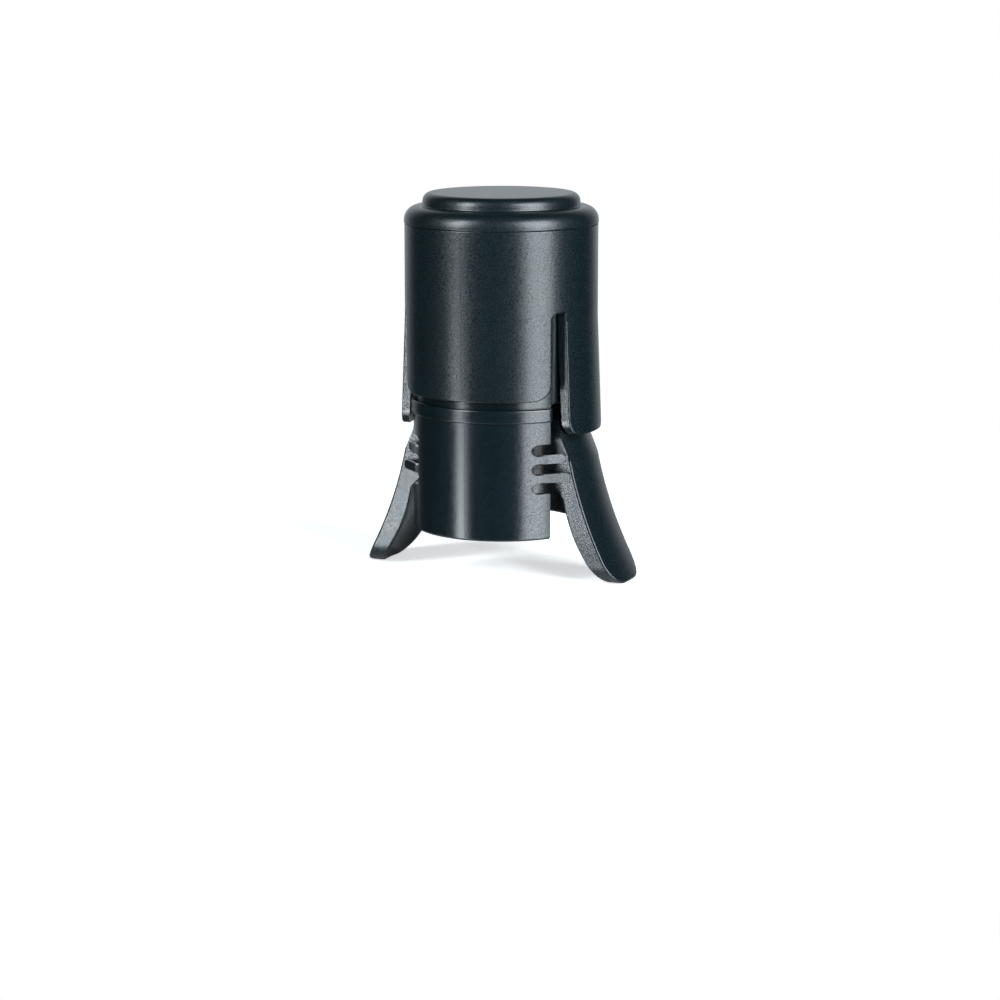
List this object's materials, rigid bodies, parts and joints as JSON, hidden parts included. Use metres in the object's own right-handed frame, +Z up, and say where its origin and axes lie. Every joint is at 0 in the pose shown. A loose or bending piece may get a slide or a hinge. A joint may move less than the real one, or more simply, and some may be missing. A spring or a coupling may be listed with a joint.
{
  "type": "champagne stopper",
  "caption": "Moulded bottle stopper with a slotted sleeve, a pressed-on cap, a sprung rubber seal and squeeze levers that hook under the bottle's neck ring.",
  "frame": {"origin": "middle of the plane that the lever feet stand on, on the bottle's axis", "axes": "+Z up along the bottle's axis towards the press cap, +X towards the right lever"},
  "size_m": [0.0662, 0.0452, 0.0891],
  "materials": {
    "black_moulding": "satin",
    "lever_moulding": "satin",
    "seal_rubber": "matte",
    "spring_steel": "bright"
  },
  "bodies": {
    "collar": {"collar": "black_moulding", "seal_spring": "spring_steel", "press_spring": "spring_steel"},
    "lever_right": {"lever_right": "lever_moulding"},
    "lever_left": {"lever_left": "lever_moulding"},
    "sleeve": {"sleeve": "black_moulding", "top_cap": "black_moulding"},
    "seal": {"seal_carrier": "black_moulding", "mouth_seal": "seal_rubber", "retaining_clip": "spring_steel"}
  },
  "joints": [
    {"name": "lever_right_squeeze", "type": "hinge", "parent": "collar", "child": "lever_right", "pos_m": [0.0195, 0, 0.0272], "axis": [0, 1, 0], "range_deg": [0, 5.5], "stiffness_Nm_per_rad": 1, "springref_deg": -5.73},
    {"name": "lever_left_squeeze", "type": "hinge", "parent": "collar", "child": "lever_left", "pos_m": [-0.0195, 0, 0.0272], "axis": [0, -1, 0], "range_deg": [0, 5.5], "stiffness_Nm_per_rad": 1, "springref_deg": -5.73},
    {"name": "cap_press", "type": "slide", "parent": "collar", "child": "sleeve", "axis": [0, 0, -1], "range_m": [0, 0.001], "stiffness_N_per_m": 2000, "springref_m": -0.001, "deforming": ["press_spring"]},
    {"name": "seal_lift", "type": "slide", "parent": "collar", "child": "seal", "axis": [0, 0, 1], "range_m": [0, 0.0025], "stiffness_N_per_m": 1500, "springref_m": -0.001, "deforming": ["seal_spring"]}
  ]
}
